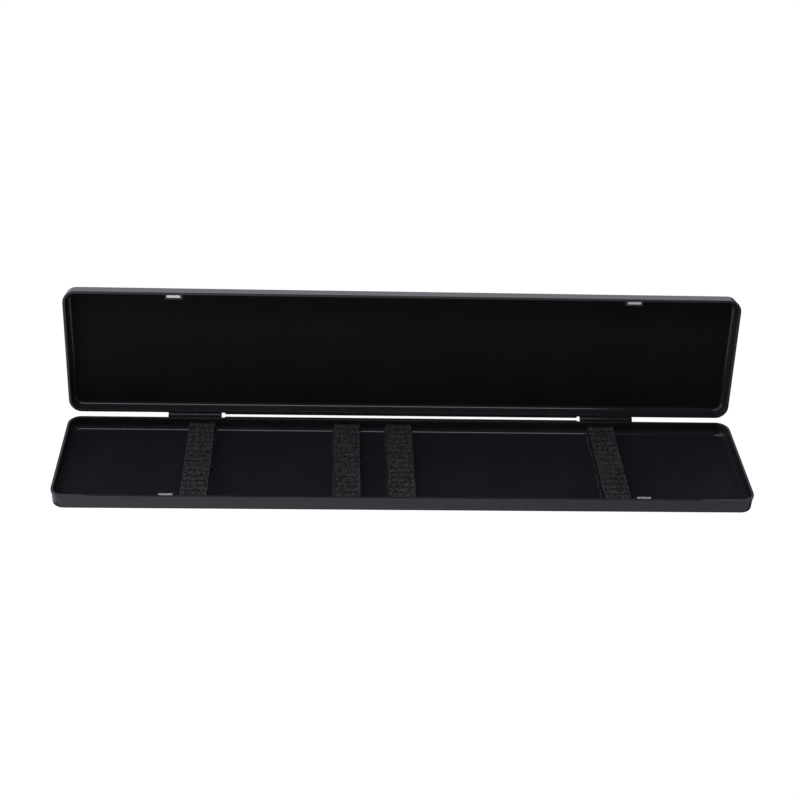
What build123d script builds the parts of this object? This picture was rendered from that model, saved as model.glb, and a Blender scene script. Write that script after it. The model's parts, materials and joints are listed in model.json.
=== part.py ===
from build123d import *
from math import cos, radians, sin
import os

# Drafting instrument case: two shallow shells hinged along the long back edge,
# held shut by magnets, with elastic straps across the base tray.
# Frame: origin at the centre of the base's underside, +X along the length,
# -Y the opening side, +Y the hinge side, +Z up. The lid stands open.

# ---- driving dimensions (mm, degrees) ----
case_length = 400.0
case_width = 76.8
base_height = 9.3
lid_height = 9.0
open_angle = 100.4

rim_width = 1.55
rim_gap = 0.05
rim_outer_radius = 0.12
rim_inner_radius = 0.3
bead_reach = 0.3
bead_depth = 1.6
bead_edge_radius = 0.2
panel = 1.5
corner_radius = 7.5
outer_edge_radius = 1.0
cavity_edge_radius = 3.2
overlap = 0.3

hinge_offset = 1.75
hinge_centre = 125.0
knuckle_count = 4
knuckle_pitch = 8.0
knuckle_gap = 0.16
barrel_radius = 1.6
web_depth = 3.6
heel_reach = 2.6
heel_gap = 0.15
pin_radius = 0.6
pin_running_gap = 0.04
pin_end_inset = 0.3
pin_end_chamfer = 0.15

flange_reach = 0.9
flange_depth = 1.6
flange_to_hinge = 2.0
flange_edge_radius = 0.3

magnet_place = 135.5
magnet_length = 8.0
magnet_width = 1.8
magnet_depth = 4.0
magnet_sink = 0.15
magnet_edge_radius = 0.2
pocket_gap = 0.05
cradle_wall = 1.2
cradle_top_sink = 1.2

strap_centres = (-120.3, -33.5, -2.1, 121.3)
strap_width = 15.0
strap_thickness = 0.8
strap_top = 7.5
strap_wall_gap = 0.3
strap_floor_gap = 0.05
strap_turn_radius = 1.4
strap_relaxed_width = 16.8
patch_width = 17.4
patch_length = 17.8
patch_thickness = 0.8
patch_centre = 3.5
patch_edge_radius = 0.3

# ---- worked out from them ----
half_width = case_width / 2
inner_half_width = half_width - rim_width
axis_y = half_width + hinge_offset
axis_z = base_height + rim_gap
turn = radians(open_angle)
hinge_length = knuckle_count * knuckle_pitch
flange_length = 2 * (hinge_centre - hinge_length / 2 - flange_to_hinge)
pocket_width = magnet_width + 2 * pocket_gap
pocket_depth = magnet_sink + magnet_depth + pocket_gap
pocket_y = inner_half_width - pocket_width / 2
cradle_length = magnet_length + 2 * (pocket_gap + cradle_wall)
cradle_width = pocket_width + cradle_wall + overlap
cradle_y = inner_half_width + overlap - cradle_width / 2
strap_reach = inner_half_width - strap_wall_gap
strap_bottom = panel + strap_floor_gap

# Each shell is drawn on its rim plane: local x along the length, local y
# towards the opening side, local z from the rim into the shell's depth.
# The two shells share one drawing, and the lid's is turned end for end,
# so their hinge knuckles fall between each other. Shut, the two rims are
# two rim gaps apart, with the hinge axis midway between their planes.
base_rim = Plane(origin=(0, 0, base_height), x_dir=(1, 0, 0), z_dir=(0, 0, -1))
lid_rim = Plane(
    origin=(
        0,
        axis_y - axis_y * cos(turn) + rim_gap * sin(turn),
        axis_z + axis_y * sin(turn) + rim_gap * cos(turn),
    ),
    x_dir=(-1, 0, 0),
    z_dir=(0, sin(turn), cos(turn)),
)


def hinge_start(side):
    """Local x where the first knuckle of a hinge begins."""
    return side * hinge_centre - hinge_length / 2


def hinge_section(rim, x):
    """Plane square to the hinge axis at a local x: its origin is on the axis,
    its x points to the opening side and its y into the shell's depth."""
    return Plane(
        origin=rim.from_local_coords((x, -axis_y, -rim_gap)),
        x_dir=rim.y_dir,
        z_dir=rim.x_dir,
    )


def knuckle_outline(plane):
    """One knuckle in section: the barrel, the web that roots it in the back
    wall, and the heel that the other shell's back wall lands on when open."""
    stop_distance = hinge_offset - heel_gap
    heel_start = (stop_distance * cos(turn), -stop_distance * sin(turn))
    heel_end = (
        heel_start[0] - heel_reach * sin(turn),
        heel_start[1] - heel_reach * cos(turn),
    )
    with BuildSketch(plane) as outline:
        Circle(barrel_radius)
        with BuildLine():
            Polyline(
                (0, rim_gap),
                (hinge_offset + overlap, rim_gap),
                (hinge_offset + overlap, web_depth),
                (0, barrel_radius),
                close=True,
            )
        make_face()
        with BuildLine():
            Polyline(
                (0, 0),
                heel_start,
                heel_end,
                (heel_end[0], 0),
                (0, barrel_radius),
                close=True,
            )
        make_face()
    return outline.sketch


def make_shell(rim, depth):
    """A tray with a beaded, rounded rim, a back flange, knuckles and magnet cradles."""
    inward = Axis(rim.origin, rim.z_dir)
    with BuildPart() as shell:
        # bead round the rim, then the body behind it
        with BuildSketch(rim):
            RectangleRounded(case_length, case_width, corner_radius)
        extrude(amount=bead_depth)
        bead_back = shell.faces().filter_by(inward).sort_by(inward)[-1]
        fillet(bead_back.edges(), bead_edge_radius)
        with BuildSketch(rim):
            RectangleRounded(
                case_length - 2 * bead_reach,
                case_width - 2 * bead_reach,
                corner_radius - bead_reach,
            )
        extrude(amount=depth)
        outer_face = shell.faces().filter_by(inward).sort_by(inward)[-1]
        fillet(outer_face.edges(), outer_edge_radius)

        # cavity, with a soft turn from the walls to the panel
        with BuildSketch(rim):
            RectangleRounded(
                case_length - 2 * rim_width,
                case_width - 2 * rim_width,
                corner_radius - rim_width,
            )
        extrude(amount=depth - panel, mode=Mode.SUBTRACT)
        cavity_floor = shell.faces().filter_by(inward).sort_by(inward)[-2]
        fillet(cavity_floor.outer_wire().edges(), cavity_edge_radius)
        rim_face = shell.faces().filter_by(inward).sort_by(inward)[0]
        fillet(rim_face.inner_wires()[0].edges(), rim_inner_radius)
        rim_face = shell.faces().filter_by(inward).sort_by(inward)[0]
        fillet(rim_face.outer_wire().edges(), rim_outer_radius)

        # flange along the back wall between the hinges
        with BuildSketch(rim):
            with Locations((0, (overlap - flange_reach) / 2 - half_width)):
                RectangleRounded(flange_length, flange_reach + overlap, flange_edge_radius)
        extrude(amount=flange_depth)

        # magnet cradles against the front wall, each with its pocket
        with BuildSketch(rim.offset(cradle_top_sink)):
            with Locations((-magnet_place, cradle_y), (magnet_place, cradle_y)):
                Rectangle(cradle_length, cradle_width)
        extrude(amount=depth - panel - cradle_top_sink + overlap)
        with BuildSketch(rim):
            with Locations((-magnet_place, pocket_y), (magnet_place, pocket_y)):
                Rectangle(magnet_length + 2 * pocket_gap, pocket_width)
        extrude(amount=pocket_depth, mode=Mode.SUBTRACT)

        # every second knuckle of each hinge, then the bore for its pin
        for side in (-1, 1):
            for place in range(0, knuckle_count, 2):
                start = hinge_start(side) + place * knuckle_pitch + knuckle_gap / 2
                outline = knuckle_outline(hinge_section(rim, start))
                extrude(outline, amount=knuckle_pitch - knuckle_gap)
            with BuildSketch(hinge_section(rim, hinge_start(side))):
                Circle(pin_radius + pin_running_gap)
            extrude(amount=hinge_length, mode=Mode.SUBTRACT)
    return shell


def make_pin(side):
    """A straight steel hinge pin, chamfered at both ends."""
    start = hinge_start(side) + pin_end_inset
    with BuildPart() as pin:
        with BuildSketch(hinge_section(base_rim, start)):
            Circle(pin_radius)
        extrude(amount=hinge_length - 2 * pin_end_inset)
        chamfer(pin.edges().filter_by(GeomType.CIRCLE), pin_end_chamfer)
    return pin


def make_magnet(rim, side):
    """A plated block magnet standing in its pocket, just under the rim."""
    with BuildPart() as magnet:
        with BuildSketch(rim.offset(magnet_sink)):
            with Locations((side * magnet_place, pocket_y)):
                Rectangle(magnet_length, magnet_width)
        extrude(amount=magnet_depth)
        fillet(magnet.edges(), magnet_edge_radius)
    return magnet


def make_strap(centre):
    """An elastic band closed into a loop: a stretched run above, and a
    relaxed, wider run bonded to the floor."""
    with BuildPart() as strap:
        with BuildSketch(Plane.YZ.offset(centre - strap_width / 2)):
            with Locations((0, (strap_top + strap_bottom) / 2)):
                loop = Rectangle(2 * strap_reach, strap_top - strap_bottom)
            corners = loop.vertices().group_by(Axis.Y)
            fillet(corners[0], cavity_edge_radius)
            fillet(corners[-1], strap_turn_radius)
            offset(amount=-strap_thickness, mode=Mode.SUBTRACT)
        extrude(amount=strap_width)
        with BuildSketch(Plane.XY.offset(strap_bottom)):
            with Locations((centre, 0)):
                Rectangle(strap_relaxed_width, 2 * (strap_reach - cavity_edge_radius))
        extrude(amount=strap_thickness)
    return strap


def make_patch(centre):
    """The bonded patch over the joint in a strap's floor run."""
    patch_bottom = strap_bottom + strap_thickness + strap_floor_gap
    with BuildPart() as patch:
        with BuildSketch(Plane.XY.offset(patch_bottom)):
            with Locations((centre, patch_centre)):
                Rectangle(patch_width, patch_length)
        extrude(amount=patch_thickness)
        fillet(patch.edges().filter_by(Axis.Z), patch_edge_radius)
        fillet(patch.faces().sort_by(Axis.Z)[-1].edges(), patch_edge_radius)
    return patch


def save(piece, name):
    """Label a finished piece and write its STEP file."""
    piece.part.label = name
    export_step(piece.part, f"parts/{name}.step")


os.makedirs("parts", exist_ok=True)

save(make_shell(base_rim, base_height), "base_shell")
save(make_shell(lid_rim, lid_height), "lid_shell")

for side, side_name in ((-1, "left"), (1, "right")):
    save(make_pin(side), f"hinge_pin_{side_name}")
    save(make_magnet(base_rim, side), f"base_magnet_{side_name}")
    save(make_magnet(lid_rim, -side), f"lid_magnet_{side_name}")

for number, centre in enumerate(strap_centres, start=1):
    save(make_strap(centre), f"elastic_strap_{number}")
    save(make_patch(centre), f"strap_patch_{number}")
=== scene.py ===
import json
import math
import random

import bmesh
import bpy
from mathutils import Matrix, Vector, noise


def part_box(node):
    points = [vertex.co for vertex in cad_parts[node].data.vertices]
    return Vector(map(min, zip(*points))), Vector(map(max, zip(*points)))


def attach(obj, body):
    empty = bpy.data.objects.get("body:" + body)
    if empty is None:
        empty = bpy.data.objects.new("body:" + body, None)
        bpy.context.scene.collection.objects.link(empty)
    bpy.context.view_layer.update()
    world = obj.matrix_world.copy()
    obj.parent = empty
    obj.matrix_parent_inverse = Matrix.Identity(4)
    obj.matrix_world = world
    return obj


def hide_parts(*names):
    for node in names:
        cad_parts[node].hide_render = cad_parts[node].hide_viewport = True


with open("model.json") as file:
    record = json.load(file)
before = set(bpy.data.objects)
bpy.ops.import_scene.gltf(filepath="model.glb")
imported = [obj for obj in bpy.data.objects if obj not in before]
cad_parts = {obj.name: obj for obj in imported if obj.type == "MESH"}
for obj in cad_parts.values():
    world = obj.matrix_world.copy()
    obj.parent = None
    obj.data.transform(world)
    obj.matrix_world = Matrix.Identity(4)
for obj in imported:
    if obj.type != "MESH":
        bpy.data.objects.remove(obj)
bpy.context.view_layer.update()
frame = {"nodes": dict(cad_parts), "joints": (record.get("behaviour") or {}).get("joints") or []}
mm = 0.001


class Value:
    # a number socket that does sums: every operator adds a Math node
    def __init__(self, finish, socket):
        self.finish = finish
        self.socket = socket

    def maths(self, operation, other, swapped=False):
        pair = (other, self) if swapped else (self, other)
        return self.finish.value("ShaderNodeMath", {"operation": operation}, {0: pair[0], 1: pair[1]})

    def __add__(self, other):
        return self.maths("ADD", other)

    def __radd__(self, other):
        return self.maths("ADD", other, True)

    def __sub__(self, other):
        return self.maths("SUBTRACT", other)

    def __rsub__(self, other):
        return self.maths("SUBTRACT", other, True)

    def __mul__(self, other):
        return self.maths("MULTIPLY", other)

    def __rmul__(self, other):
        return self.maths("MULTIPLY", other, True)

    def absolute(self):
        return self.maths("ABSOLUTE", 0.0)

    def between(self, low, high):
        # 0 at low, 1 at high, clamped; low may be the larger
        return self.finish.value(
            "ShaderNodeMapRange",
            {"clamp": True, "interpolation_type": "SMOOTHSTEP"},
            {0: self, 1: low, 2: high, 3: 0.0, 4: 1.0},
        )


class Finish:
    # a material's (or the world's) nodes: its Principled shader, and the one way to add a node
    def __init__(self, owner):
        owner.use_nodes = True
        self.material = owner
        self.tree = owner.node_tree
        self.shader = self.tree.nodes.get("Principled BSDF")

    def feed(self, socket, source):
        if isinstance(source, Value):
            source = source.socket
        if isinstance(source, bpy.types.NodeSocket):
            self.tree.links.new(source, socket)
        else:
            socket.default_value = source

    def node(self, kind, settings=None, feeds=None):
        made = self.tree.nodes.new(kind)
        for name, setting in (settings or {}).items():
            setattr(made, name, setting)
        for name, source in (feeds or {}).items():
            self.feed(made.inputs[name], source)
        return made

    def value(self, kind, settings=None, feeds=None, output=0):
        return Value(self, self.node(kind, settings, feeds).outputs[output])

    def place(self, scale=(1, 1, 1), turn=(0, 0, 0)):
        # object coordinates in metres, stretched or turned
        coords = self.node("ShaderNodeTexCoord").outputs["Object"]
        mapped = self.node("ShaderNodeMapping", None, {"Vector": coords, "Scale": scale, "Rotation": turn})
        return mapped.outputs[0]

    def cloud(self, size, vector, detail=2.0, roughness=0.5):
        # noise whose features are about size metres across
        feeds = {"Vector": vector, "Scale": 1 / size, "Detail": detail, "Roughness": roughness}
        return self.value("ShaderNodeTexNoise", None, feeds)

    def tint(self, factor, plain, changed):
        # sockets 6 and 7 are the Mix node's two colours, and output 2 is the mixed one
        mix = self.node("ShaderNodeMix", {"data_type": "RGBA"}, {0: factor, 6: plain, 7: changed})
        return mix.outputs[2]

    def bump(self, height, depth, shader=None):
        # height from 0 to 1 stands for depth metres
        feeds = {"Height": height, "Distance": depth, "Strength": 1.0}
        made = self.node("ShaderNodeBump", None, feeds)
        self.feed((shader or self.shader).inputs["Normal"], made.outputs[0])

    def set(self, **inputs):
        for name, source in inputs.items():
            self.feed(self.shader.inputs[name.replace("_", " ")], source)

    def split(self, vector):
        # a vector's x, y and z as values
        parts = self.node("ShaderNodeSeparateXYZ", None, {0: vector}).outputs
        return [Value(self, part) for part in parts]

    def surface(self, shader):
        self.feed(self.tree.nodes["Material Output"].inputs["Surface"], shader.outputs[0])


plasticLook = {
    "outerColour": (0.0295, 0.0286, 0.0322, 1),
    "outerRoughness": 0.11,
    "outerSpecular": 0.5,
    # the two hollow colours are lit and shaded copies of one plastic: the base panel's paler bluish tone is
    # painted top light, the lid panel's darker grey is painted shade
    "baseHollow": (0.0250, 0.0244, 0.0300, 1),
    "lidHollow": (0.0158, 0.0162, 0.0153, 1),
    "hollowRoughness": 0.42,
    "hollowSpecular": 0.025,
    "smudgeSize": 28 * mm,
    "smudgeRange": (0.3, 0.75),
    "smudgePaler": 1.25,
    "hollowPaler": 1.2,
    "smudgeRough": 0.08,
    "streakSize": 0.5 * mm,
    "streakStretch": 0.012,  # moulding streaks run along the case
    "streakRough": 0.12,
    "streakHeight": 2.5,
    "dustColour": (0.10, 0.10, 0.11, 1),
    "dustSize": 0.6 * mm,
    "dustRange": (0.74, 0.80),
    "dustShare": 0.5,
    "driftSize": 9 * mm,  # dust lies in drifts
    "driftRange": (0.50, 0.60),
    "dustRough": 0.3,
    "grainSize": 0.25 * mm,
    "outerGrain": 0.003 * mm,
    "hollowGrain": 0.010 * mm,
}


def scaled(colour, times):
    return tuple(part * times for part in colour[:3]) + (1,)


def plasticFinish(name, look, turn, hollow, hollowColour):
    # black ABS: satin with moulding streaks, and a matt spark-eroded texture where hollow is 1, coloured
    # there with hollowColour: painted top light on the base, painted shade on the lid
    finish = Finish(bpy.data.materials.new(name))
    flat = finish.place()
    along = finish.place(scale=(look["streakStretch"], 1, 1), turn=turn)
    streaks = finish.cloud(look["streakSize"], along, detail=3.0)
    smudges = finish.cloud(look["smudgeSize"], flat, detail=4.0, roughness=0.6)
    grain = finish.cloud(look["grainSize"], flat, detail=3.0, roughness=0.7)
    specks = finish.cloud(look["dustSize"], flat, detail=1.0).between(*look["dustRange"])
    dust = specks * finish.cloud(look["driftSize"], flat).between(*look["driftRange"])
    rough = (smudges - 0.5) * look["smudgeRough"] + (streaks - 0.5) * look["streakRough"]
    rough = rough + dust * look["dustRough"]

    shade = smudges.between(*look["smudgeRange"])
    satin = finish.shader
    colour = finish.tint(shade, look["outerColour"], scaled(look["outerColour"], look["smudgePaler"]))
    finish.set(Base_Color=colour, Roughness=rough + look["outerRoughness"])
    satin.inputs["Specular IOR Level"].default_value = look["outerSpecular"]
    finish.bump(grain + streaks * look["streakHeight"], look["outerGrain"])

    matt = finish.node("ShaderNodeBsdfPrincipled")
    colour = finish.tint(shade, hollowColour, scaled(hollowColour, look["hollowPaler"]))
    finish.feed(matt.inputs["Base Color"], finish.tint(dust * look["dustShare"], colour, look["dustColour"]))
    finish.feed(matt.inputs["Roughness"], rough + look["hollowRoughness"])
    matt.inputs["Specular IOR Level"].default_value = look["hollowSpecular"]
    finish.bump(grain, look["hollowGrain"], matt)

    feeds = {0: hollow(finish), 1: satin.outputs[0], 2: matt.outputs[0]}
    finish.surface(finish.node("ShaderNodeMixShader", None, feeds))
    return finish.material


def hollowOf(centre, turn, halfLength, halfWidth, depth):
    # 1 on the flat panel of a shell's cavity, 0 elsewhere: the shell is turned flat and centred first
    def mask(finish):
        coords = finish.node("ShaderNodeTexCoord").outputs["Object"]
        moved = finish.node("ShaderNodeVectorMath", {"operation": "SUBTRACT"}, {0: coords, 1: centre})
        feeds = {"Vector": moved.outputs[0], "Rotation": (turn, 0, 0)}
        x, y, z = finish.split(finish.node("ShaderNodeMapping", None, feeds).outputs[0])
        soft = shell["panelSoft"]
        inside = x.absolute().between(halfLength + soft, halfLength - soft)
        inside = inside * y.absolute().between(halfWidth + soft, halfWidth - soft)
        inside = inside * z.between(*(-depth - under for under in shell["panelUnder"]))
        return inside * z.between(*(-depth + over for over in shell["panelOver"]))

    return mask


metalLook = {
    "nickel": (0.92, 0.92, 0.93, 1),
    "nickelRoughness": 0.27,
    "nickelScratch": 0.12 * mm,
    "steel": (0.55, 0.55, 0.56, 1),
    "steelRoughness": 0.28,
    "steelScratch": 0.06 * mm,
    "scratchStretch": 0.06,
    "scratchRough": 0.16,
    "scratchDepth": 0.0008 * mm,
    "wearSize": 1.6 * mm,
    "wearRange": (0.45, 0.75),
    "wearRough": 0.1,
    "wearDulls": 0.8,
}


def metalFinish(name, look, metal):
    # plated or drawn metal with fine scratches one way
    finish = Finish(bpy.data.materials.new(name))
    along = finish.place(scale=(look["scratchStretch"], 1, 1))
    scratches = finish.cloud(look[f"{metal}Scratch"], along)
    wear = finish.cloud(look["wearSize"], finish.place(), detail=3.0)
    rough = (scratches - 0.5) * look["scratchRough"] + (wear - 0.5) * look["wearRough"]
    dulled = scaled(look[metal], look["wearDulls"])
    finish.set(
        Base_Color=finish.tint(wear.between(*look["wearRange"]), look[metal], dulled),
        Roughness=rough + look[f"{metal}Roughness"],
        Metallic=1.0,
    )
    finish.bump(scratches, look["scratchDepth"])
    return finish.material


elasticLook = {
    # groove is the colour where the knit is lowest: painted shade in the grooves, darker than the yarn
    # itself
    "groove": (0.0040, 0.0041, 0.0041, 1),
    "yarn": (0.0800, 0.0814, 0.0805, 1),
    "knitShadeContrast": 0.9,
    "mottleContrast": 2.5,
    "shadeAndMottleRange": (0.1, 1.05),
    "fleck": (0.120, 0.121, 0.120, 1),
    "fleckShare": 0.8,
    "fleckFibres": 0.5,
    "fleckKnit": 0.2,
    "fleckRange": (1.0, 1.15),
    "roughness": 0.8,
    "fibreGloss": 0.1,
    "specular": 0.2,
    "sheen": 0.12,
    "sheenRoughness": 0.5,
    "mottleSize": 1.15 * mm,
    "mottleStretch": (1.3, 0.75, 1),
    "fibreSize": 0.3 * mm,
    "fibreStretch": (1, 0.6, 1),
    "fibreDepth": 0.09 * mm,
    "knitBump": 0.5,
}


def elasticFinish(name, look):
    # knitted elastic: the "knit" attribute is the height of the yarn, 0 in the grooves, and the
    # Attribute node gives it as a number on output 2
    finish = Finish(bpy.data.materials.new(name))
    knit = finish.value("ShaderNodeAttribute", {"attribute_name": "knit"}, output=2)
    fibres = finish.cloud(look["fibreSize"], finish.place(look["fibreStretch"]), roughness=0.7)
    mottle = finish.cloud(look["mottleSize"], finish.place(look["mottleStretch"]), detail=1.0)
    # the colour follows the knit's height: low knit darkens towards groove as painted shade, and the mottle
    # is the yarn's own uneven tone
    shadeAndMottle = knit * look["knitShadeContrast"] + (mottle - 0.5) * look["mottleContrast"]
    colour = finish.tint(shadeAndMottle.between(*look["shadeAndMottleRange"]), look["groove"], look["yarn"])
    # more pale flecks where the knit is high: painted light on the yarn's tops
    fleck = mottle + fibres * look["fleckFibres"] + knit * look["fleckKnit"]
    fleck = fleck.between(*look["fleckRange"]) * look["fleckShare"]
    colour = finish.tint(fleck, colour, look["fleck"])
    finish.set(Base_Color=colour, Roughness=look["roughness"] - fibres * look["fibreGloss"])
    finish.set(Sheen_Weight=look["sheen"], Sheen_Roughness=look["sheenRoughness"])
    finish.set(Specular_IOR_Level=look["specular"])
    finish.bump(fibres + mottle + knit * look["knitBump"], look["fibreDepth"])
    return finish.material


shell = {
    "rimWidth": 1.55 * mm,
    "rimHeight": 9.3 * mm,
    "baseDepth": 7.8 * mm,
    "lidDepth": 7.5 * mm,
    "cornerTurn": 1.9 * mm,  # how far the satin turn reaches in from a wall
    "panelSoft": 0.3 * mm,  # the matt area's edge, either side
    "panelUnder": (0.7 * mm, 0.5 * mm),  # below the panel's face, short of the outer face
    "panelOver": (0.34 * mm, 0.22 * mm),  # above it, on the foot of the turn
}
hinge = frame["joints"][0]
openAngle = math.radians(hinge["range_deg"][1])
axis = Vector(hinge["pos_m"])
baseLow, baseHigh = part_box("base_shell")
satinEdge = shell["rimWidth"] + shell["cornerTurn"]
inLength = baseHigh.x - satinEdge
inWidth = -baseLow.y - satinEdge  # the front wall: the back one has the hinge beyond it

# the lid's rim centre: where it lies when shut, swung open about the hinge
shutCentre = Vector((0, 0, 2 * axis.z - shell["rimHeight"]))
lidCentre = axis + Matrix.Rotation(-openAngle, 3, "X") @ (shutCentre - axis)
baseHollow = hollowOf((0, 0, shell["rimHeight"]), 0, inLength, inWidth, shell["baseDepth"])
lidHollow = hollowOf(tuple(lidCentre), openAngle + math.pi, inLength, inWidth, shell["lidDepth"])
# the hollow panels' colours: the base's is painted top light, the lid's is painted shade
basePanelTopLit, lidPanelShaded = plasticLook["baseHollow"], plasticLook["lidHollow"]
basePlastic = plasticFinish("baseShellPlastic", plasticLook, (0, 0, 0), baseHollow, basePanelTopLit)
lidPlastic = plasticFinish("lidShellPlastic", plasticLook, (openAngle, 0, 0), lidHollow, lidPanelShaded)
magnetNickel = metalFinish("magnetNickel", metalLook, "nickel")
pinSteel = metalFinish("pinSteel", metalLook, "steel")
elastic = elasticFinish("ribbedElastic", elasticLook)

for name, node in frame["nodes"].items():
    if name == "base_shell":
        finishHere = basePlastic
    elif name == "lid_shell":
        finishHere = lidPlastic
    elif "magnet" in name:
        finishHere = magnetNickel
    elif "pin" in name:
        finishHere = pinSteel
    else:
        finishHere = elastic
    node.data.materials.clear()
    node.data.materials.append(finishHere)
print("finishes on the CAD nodes")


strapShape = {
    "step": 0.29 * mm,  # mesh size along the band
    "stepAcross": 0.24 * mm,
    "thickness": 0.70 * mm,
    "ribPitch": 2.33 * mm,
    "ribDepth": 0.36 * mm,
    "ribPower": 1.1,
    "ribLevels": (0.88, 1.0),
    "deepEvery": 2,  # every second groove is pulled deeper
    "shallowGroove": 0.68,  # how high the others are left
    "stitchPitch": 1.3 * mm,
    "stitchDepth": 0.26 * mm,
    "stitchPower": 0.8,
    "topRadius": 1.4 * mm,
    "floorRadius": 3.2 * mm,
    "topWidth": 14.8 * mm,
    "floorWidth": 16.8 * mm,
    "edgeWander": 0.14 * mm,
    "wanderLength": 9 * mm,
    "wanderAcross": 2,
    "wanderApart": 5.1,  # keeps the four bands' patterns apart
    "ribDrift": 0.5,
    "ribSway": 0.1,
    "selvedge": 0.1,  # the tight edge, as a share of the half width
    "selvedgeLift": 0.75,
    "floorFlatAndShaded": 0.45,  # the knit is flatter where the band lies on the floor, and through the knit attribute its colour is darker there: painted shade under the top run
    "curl": 0.35 * mm,
    "curlRun": 6 * mm,  # the last of the top run, towards each wall
    "seam": 0.02 * mm,  # vertices nearer than this are joined where the band's ends meet
    "seed": 7,
}


def roundLoop(runs, start, distance):
    # walks the loop's straight runs and quarter turns; gives the place and the outward side
    place = Vector(start)
    heading = Vector((1, 0))
    for straight, radius in runs:
        side = Vector((-heading.y, heading.x))
        if distance <= straight:
            return place + heading * distance, side
        place += heading * straight
        distance -= straight
        turned = distance / radius
        if turned <= math.pi / 2:
            centre = place - side * radius
            side = side * math.cos(turned) + heading * math.sin(turned)
            return centre + side * radius, side
        place += (heading - side) * radius
        distance -= radius * math.pi / 2
        heading = -side
    return place, Vector((-heading.y, heading.x))


def knitHeight(shape, rib, across, ribLevels):
    # 0 in a groove, 1 on top of the yarn; every other rib's stitches are half a stitch over
    ribNumber = math.floor(rib)
    ribWave = abs(math.sin(math.pi * rib)) ** shape["ribPower"]
    if round(rib) % shape["deepEvery"]:
        ribWave = shape["shallowGroove"] + (1 - shape["shallowGroove"]) * ribWave
    stitch = across / shape["stitchPitch"] + 0.5 * (ribNumber % 2)
    stitchWave = abs(math.cos(math.pi * stitch)) ** shape["stitchPower"]
    total = shape["ribDepth"] + shape["stitchDepth"]
    height = (ribWave * shape["ribDepth"] + ribWave * stitchWave * shape["stitchDepth"]) / total
    return max(0.0, min(1.0, height * ribLevels[ribNumber % len(ribLevels)]))


def addPiece(mesh, name):
    data = bpy.data.meshes.new(name)
    mesh.to_mesh(data)
    mesh.free()
    piece = bpy.data.objects.new(name, data)
    bpy.context.scene.collection.objects.link(piece)
    return piece


def finishPiece(mesh, name, node):
    # a detailed elastic piece in place of the CAD's plain one
    for face in mesh.faces:
        face.smooth = True
    piece = addPiece(mesh, name)
    piece.data.materials.append(elastic)
    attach(piece, "base")
    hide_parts(node)


def makeStrap(number, shape):
    node = f"elastic_strap_{number}"
    low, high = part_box(node)
    centre = (low.x + high.x) / 2
    luck = random.Random(shape["seed"] + number)
    topRun = high.y - low.y - 2 * shape["topRadius"]
    wall = high.z - low.z - shape["topRadius"] - shape["floorRadius"]
    floorRun = high.y - low.y - 2 * shape["floorRadius"]
    # from the front of the top run, over the back wall, along the floor and up again
    runs = (
        (topRun, shape["topRadius"]),
        (wall, shape["floorRadius"]),
        (floorRun, shape["floorRadius"]),
        (wall, shape["topRadius"]),
    )
    start = (low.y + shape["topRadius"], high.z)
    turns = sum(radius * math.pi / 2 for straight, radius in runs)
    length = sum(straight for straight, radius in runs) + turns
    alongCount = round(length / shape["step"])
    acrossCount = round(shape["topWidth"] / shape["stepAcross"])
    ribCount = 2 * round(length / shape["ribPitch"] / 2)  # even, so the pattern meets itself
    pitch = length / ribCount
    noiseRadius = length / (2 * math.pi * shape["wanderLength"])  # the loop as a circle, in noise units
    ribLevels = [luck.uniform(*shape["ribLevels"]) for rib in range(ribCount)]
    drift = [luck.uniform(-1, 1) for rib in range(ribCount)]

    mesh = bmesh.new()
    bmesh.ops.create_grid(mesh, x_segments=alongCount, y_segments=acrossCount, size=1)
    knitLayer = mesh.verts.layers.float.new("knit")
    for vertex in mesh.verts:
        along = (vertex.co.x + 1) / 2 * length
        across = vertex.co.y  # -1 to 1
        place, side = roundLoop(runs, start, along)
        relaxed = max(0.0, min(1.0, (high.z - shape["topRadius"] - place.y) / shape["floorRadius"]))
        width = shape["topWidth"] + (shape["floorWidth"] - shape["topWidth"]) * relaxed
        rib = int(along / pitch) % ribCount
        ribWave = abs(math.sin(math.pi * along / pitch))
        turn = 2 * math.pi * along / length
        apart = across * shape["wanderAcross"] + number * shape["wanderApart"]
        wander = noise.noise(Vector((math.cos(turn) * noiseRadius, math.sin(turn) * noiseRadius, apart)))
        half = width / 2 + shape["edgeWander"] * (drift[rib] * ribWave * shape["ribDrift"] + wander)
        edge = max(0.0, abs(across) - (1 - shape["selvedge"])) / shape["selvedge"]
        swayed = along / pitch + wander * shape["ribSway"]
        height = knitHeight(shape, swayed, across * half, ribLevels)
        # flatter and darker knit on the floor run: the darker colour is painted shade under the top run
        height = height * (1 - shape["floorFlatAndShaded"] * relaxed)
        height = height + (1 - height) * edge * shape["selvedgeLift"]
        depth = (1 - height) * (shape["ribDepth"] + shape["stitchDepth"])
        nearEnd = max(0.0, abs(place.x) - (high.y - shape["curlRun"])) / shape["curlRun"]
        dip = shape["curl"] * (1 - across * across) * nearEnd * (1 - relaxed)
        place = place - side * (depth + dip)
        vertex.co = Vector((centre + across * half, place.x, place.y))
        vertex[knitLayer] = height
    bmesh.ops.remove_doubles(mesh, verts=mesh.verts, dist=shape["seam"])
    bmesh.ops.recalc_face_normals(mesh, faces=mesh.faces)
    topFaces = [face for face in mesh.faces if face.calc_center_median().z > high.z - mm]
    if sum(1 if face.normal.z > 0 else -1 for face in topFaces) < 0:
        bmesh.ops.reverse_faces(mesh, faces=mesh.faces)
    bmesh.ops.solidify(mesh, geom=mesh.faces, thickness=shape["thickness"] - shape["stitchDepth"])
    finishPiece(mesh, f"elasticStrap{number}", node)


patchShape = {
    "step": 0.26 * mm,
    "weave": 1.1 * mm,
    "weaveDepth": 0.22 * mm,
    "hem": 1.3 * mm,  # the pressed edge all round
    "hemDepth": 0.18 * mm,
    "hemHeight": 0.55,
    "fray": 0.12 * mm,
    "frayLength": 1.5 * mm,
    "yarnLight": 0.8,  # a little darker than the band
}


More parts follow.
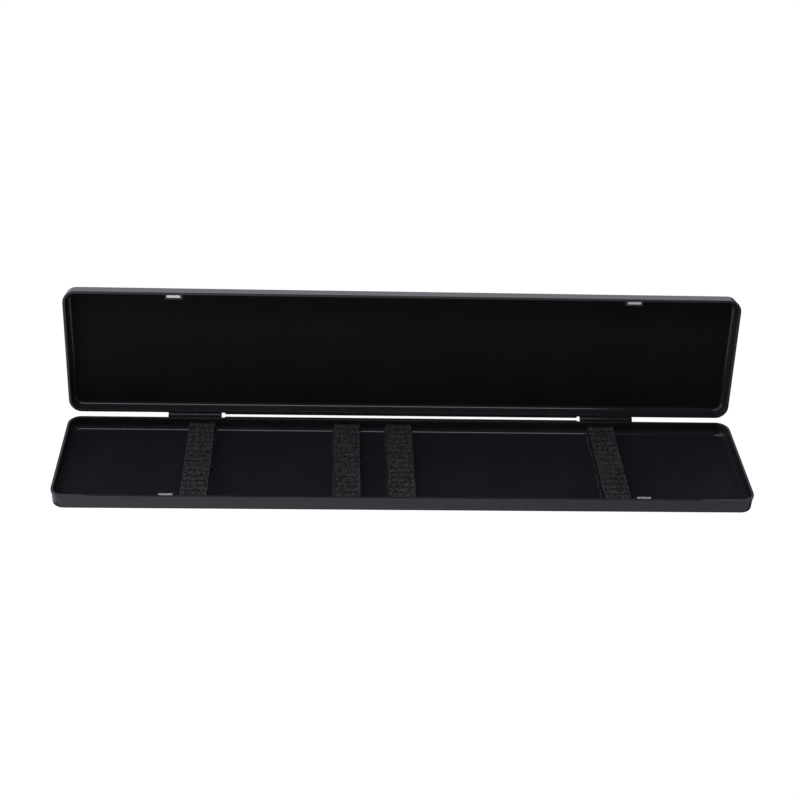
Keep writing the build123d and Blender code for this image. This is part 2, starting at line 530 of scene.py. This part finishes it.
def makePatch(number, shape):
    # a woven square that joins the band's ends: over and under yarns, pressed flat along its hem
    node = f"strap_patch_{number}"
    low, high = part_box(node)
    centre = (low + high) / 2
    half = (high - low) / 2
    mesh = bmesh.new()
    counts = [round(side * 2 / shape["step"]) for side in (half.x, half.y)]
    bmesh.ops.create_grid(mesh, x_segments=counts[0], y_segments=counts[1], size=1)
    knitLayer = mesh.verts.layers.float.new("knit")
    for vertex in mesh.verts:
        x, y = vertex.co.x * half.x, vertex.co.y * half.y
        over = math.sin(math.pi * x / shape["weave"]) * math.sin(math.pi * y / shape["weave"])
        edge = min(half.x - abs(x), half.y - abs(y))
        hem = max(0.0, 1 - edge / shape["hem"])
        height = (0.5 + 0.5 * over) * (1 - hem) + shape["hemHeight"] * hem
        depth = (1 - height) * shape["weaveDepth"] + hem * hem * shape["hemDepth"]
        spot = Vector((x, y, number * mm)) / shape["frayLength"]
        fray = noise.noise(spot) * shape["fray"] * hem
        shrink = 1 - (shape["fray"] - fray) / half.x
        vertex.co = Vector((centre.x + x * shrink, centre.y + y * shrink, high.z - depth))
        # the knit attribute darkens the colour where the weave and the hem lie low: painted shade
        vertex[knitLayer] = height * shape["yarnLight"]
    bmesh.ops.recalc_face_normals(mesh, faces=mesh.faces)
    if sum(face.normal.z for face in mesh.faces) < 0:
        bmesh.ops.reverse_faces(mesh, faces=mesh.faces)
    thickness = high.z - low.z - shape["weaveDepth"] - shape["hemDepth"]
    bmesh.ops.solidify(mesh, geom=mesh.faces, thickness=thickness)
    finishPiece(mesh, f"strapPatch{number}", node)


strapCount = 4
for number in range(1, strapCount + 1):
    makeStrap(number, strapShape)
    makePatch(number, patchShape)
print("straps and patches")


studio = {
    "lightTint": (1.0, 0.965, 1.07),
    "dimLight": 0.03,  # above and in front, where nothing stands
    "sideLight": 0.50,  # far out on the left and right
    "sideShare": 0.8,
    "sideFrom": (0.6, 0.8),
    "roomLight": 0.58,  # behind the case
    "roomFrom": (0.2, 0.6),
    "backLight": 0.92,  # behind it and low down
    "backFrom": (0.2, 0.7),
    "backTop": (0.55, 0.25),
    "backFoot": (0.0, 0.2),
    "leftShare": 0.15,  # how much brighter the left is than the middle
    "roomWhite": 1.05,  # what the camera sees
    "paperWhite": 1.02,
    "paperLeft": 0.73,
    "paperRight": 0.49,
    "paperTurn": 0.25,  # from left to right within this distance of the middle
    "paperFar": 0.12,  # well out on the right
    "farGap": 20 * mm,
    "paperShade": 0.10,  # under the case, close behind it and close on its right
    "shadeReach": 0.05,
    "floorSize": 12.0,
    "floorDrop": -0.05 * mm,
    "softboxPlace": (-0.22, -0.24, 1.25),
    "softboxSize": (1.16, 0.34),
    "softboxGlow": 2.8,
}


def makeRoom(look, tint):
    # plain white to look at, while it lights the case mostly from behind
    world = bpy.data.worlds.new("studio")
    room = Finish(world)
    background = room.tree.nodes["Background"]
    seen = room.value("ShaderNodeLightPath")
    right, ahead, up = room.split(room.node("ShaderNodeTexCoord").outputs["Generated"])
    glow = look["dimLight"] + ahead.between(*look["roomFrom"]) * (look["roomLight"] - look["dimLight"])
    back = up.between(*look["backTop"]) * up.between(*look["backFoot"]) * ahead.between(*look["backFrom"])
    glow = glow + back * (look["backLight"] - look["roomLight"])
    side = look["sideLight"] * (1 - right * look["sideShare"])
    glow = glow + right.absolute().between(*look["sideFrom"]) * (side - glow)
    glow = glow * (1 - right * look["leftShare"])
    room.feed(background.inputs["Color"], room.tint(seen, tint, (1, 1, 1, 1)))
    room.feed(background.inputs["Strength"], seen * (look["roomWhite"] - glow) + glow)
    bpy.context.scene.world = world


def makeFloor(look, tint):
    # white paper to look at, clear from below, that lights the case less on the right and close by
    mesh = bmesh.new()
    bmesh.ops.create_grid(mesh, x_segments=1, y_segments=1, size=look["floorSize"] / 2)
    bmesh.ops.translate(mesh, vec=(0, 0, look["floorDrop"]), verts=mesh.verts)
    ground = addPiece(mesh, "studioFloor")
    finish = Finish(bpy.data.materials.new("studioFloor"))
    seen = finish.value("ShaderNodeLightPath")
    x, y = finish.split(finish.place())[:2]
    turn = look["paperTurn"]
    paper = look["paperLeft"] + x.between(-turn, turn) * (look["paperRight"] - look["paperLeft"])
    far = x.between(baseHigh.x + look["farGap"], 2 * baseHigh.x)
    paper = paper + far * (look["paperFar"] - paper)
    reach = look["shadeReach"]
    shade = x.between(baseLow.x - mm, baseLow.x) * y.between(baseLow.y - mm, baseLow.y)
    shade = shade * x.between(baseHigh.x + 2 * reach, baseHigh.x + reach)
    shade = shade * y.between(baseHigh.y + 2 * reach, baseHigh.y + reach)
    paper = paper + shade * (look["paperShade"] - paper)
    white = finish.node("ShaderNodeEmission")
    finish.feed(white.inputs["Color"], finish.tint(seen, tint, (1, 1, 1, 1)))
    finish.feed(white.inputs["Strength"], seen * (look["paperWhite"] - paper) + paper)
    under = finish.value("ShaderNodeNewGeometry", output="Backfacing")
    clear = finish.node("ShaderNodeBsdfTransparent")
    feeds = {0: under, 1: white.outputs[0], 2: clear.outputs[0]}
    finish.surface(finish.node("ShaderNodeMixShader", None, feeds))
    ground.data.materials.append(finish.material)


def makeSoftbox(look):
    # long and narrow, overhead: it draws the fine bright line along the rims and turns
    light = bpy.data.lights.new("softbox", "AREA")
    light.shape = "RECTANGLE"
    light.size, light.size_y = look["softboxSize"]
    light.energy = look["softboxGlow"] * math.pi * light.size * light.size_y  # brightness to watts
    light.color = look["lightTint"]
    lamp = bpy.data.objects.new("softbox", light)
    lamp.location = look["softboxPlace"]
    bpy.context.scene.collection.objects.link(lamp)


cameraSet = {
    "place": (-0.04503, -0.67720, 0.51963),
    "yaw": 3.4604,
    "pitch": 34.6855,
    "roll": 2.6079,
    "lens": 65.21,
    "sensor": 36.0,
}


def makeCamera(look):
    data = bpy.data.cameras.new("camera")
    data.lens = look["lens"]
    data.sensor_width = look["sensor"]
    data.clip_start = 0.01
    camera = bpy.data.objects.new("camera", data)
    bpy.context.scene.collection.objects.link(camera)
    camera.matrix_world = (
        Matrix.Translation(look["place"])
        @ Matrix.Rotation(math.radians(-look["yaw"]), 4, "Z")
        @ Matrix.Rotation(math.radians(90 - look["pitch"]), 4, "X")
        @ Matrix.Rotation(math.radians(look["roll"]), 4, "Z")
    )
    bpy.context.scene.camera = camera


lightColour = studio["lightTint"] + (1,)
makeRoom(studio, lightColour)
makeFloor(studio, lightColour)
makeSoftbox(studio)
makeCamera(cameraSet)
bpy.context.scene.view_settings.view_transform = "Standard"
print("studio and camera")
